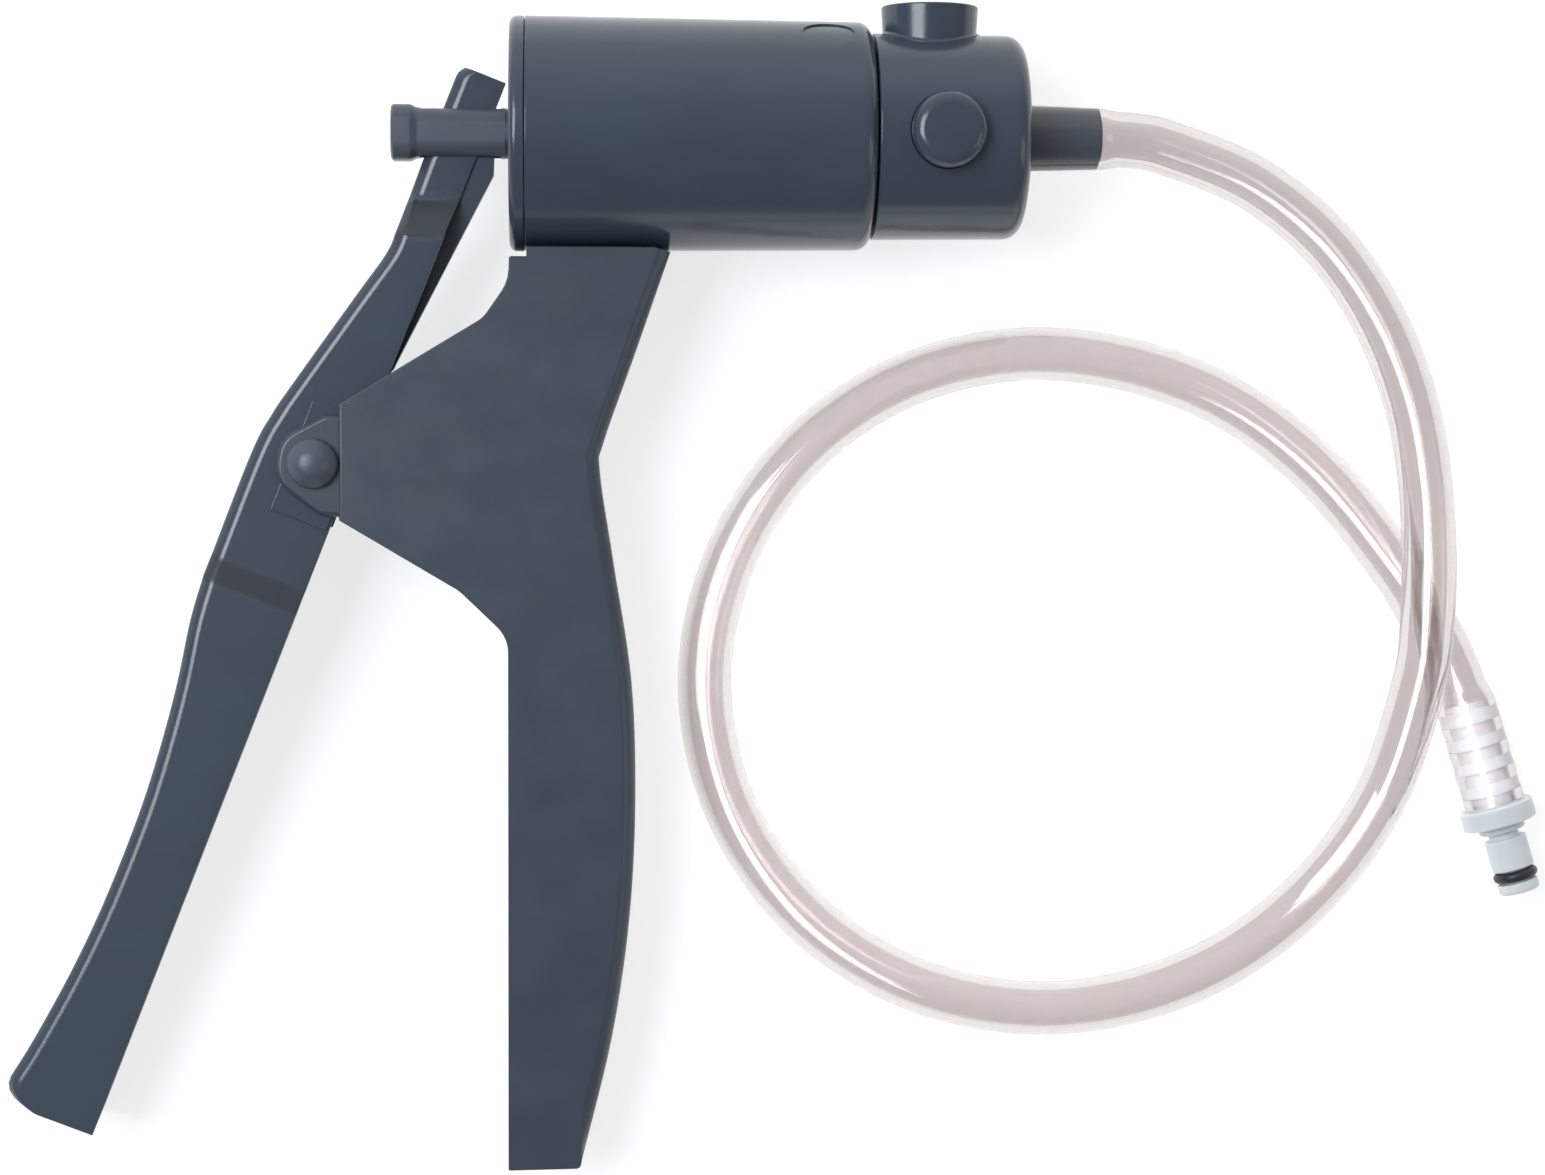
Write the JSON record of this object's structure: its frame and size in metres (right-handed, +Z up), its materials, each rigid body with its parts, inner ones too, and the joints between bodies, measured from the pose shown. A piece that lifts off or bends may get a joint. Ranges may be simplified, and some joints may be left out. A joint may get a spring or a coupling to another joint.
{
  "type": "hand vacuum pump",
  "caption": "Pistol-grip hand vacuum pump with a squeeze lever, release button, clear hose and quick-disconnect insert.",
  "frame": {"origin": "centre of the pump's footprint, on the surface it lies on, hose and insert left out", "axes": "+X along the barrel towards the hose, +Y from the grip's heel towards the barrel, +Z up from the surface the pump lies on"},
  "size_m": [0.2682, 0.2004, 0.0409],
  "materials": {
    "dark_plastic": "semi-gloss moulded",
    "matt_plastic": "satin moulded",
    "steel": "plain",
    "rubber": "moulded",
    "white_acetal": "moulded, slightly translucent",
    "clear_hose": "clear flexible tube"
  },
  "bodies": {
    "pump_body": {"barrel": "dark_plastic", "rear_cap": "dark_plastic", "rod_bushing": "white_acetal", "return_spring": "steel", "front_housing": "dark_plastic", "housing_seal": "rubber", "valve_plate": "white_acetal", "intake_valve": "rubber", "valve_block": "white_acetal", "gauge_port_plug": "dark_plastic", "gauge_plug_seal": "rubber", "hose_spigot": "dark_plastic", "release_spring": "steel", "grip": "matt_plastic", "saddle_screw_1": "steel", "saddle_screw_2": "steel", "pivot_pin": "dark_plastic", "pin_retainer": "steel", "hose": "clear_hose", "coupling_insert": "white_acetal", "coupling_o_ring": "rubber"},
    "squeeze_lever": {"lever": "dark_plastic", "lever_bush": "white_acetal"},
    "piston": {"piston_rod": "dark_plastic", "spring_seat": "steel", "exhaust_flap": "rubber", "piston_head": "dark_plastic", "piston_seal": "rubber", "piston_washer": "steel", "piston_screw": "steel"},
    "release_valve": {"release_button": "dark_plastic", "release_stem": "steel", "stem_seal": "rubber"}
  },
  "joints": [
    {"name": "lever_hinge", "type": "hinge", "parent": "pump_body", "child": "squeeze_lever", "pos_m": [-0.04149, 0.02125, 0.01667], "axis": [0, -0.0592, 0.9982], "range_deg": [0, 30]},
    {"name": "piston_slide", "type": "slide", "parent": "pump_body", "child": "piston", "axis": [-1, 0, 0], "range_m": [0, 0.02932], "stiffness_N_per_m": 60, "springref_m": -0.012, "deforming": ["return_spring"]},
    {"name": "button_slide", "type": "slide", "parent": "pump_body", "child": "release_valve", "axis": [0, 0.0592, -0.9982], "range_m": [0, 0.0022], "stiffness_N_per_m": 600, "springref_m": -0.002, "deforming": ["release_spring"]}
  ],
  "couplings": [
    {"joint": "lever_hinge", "follows": "piston_slide", "rad_per_m": 17.857}
  ]
}
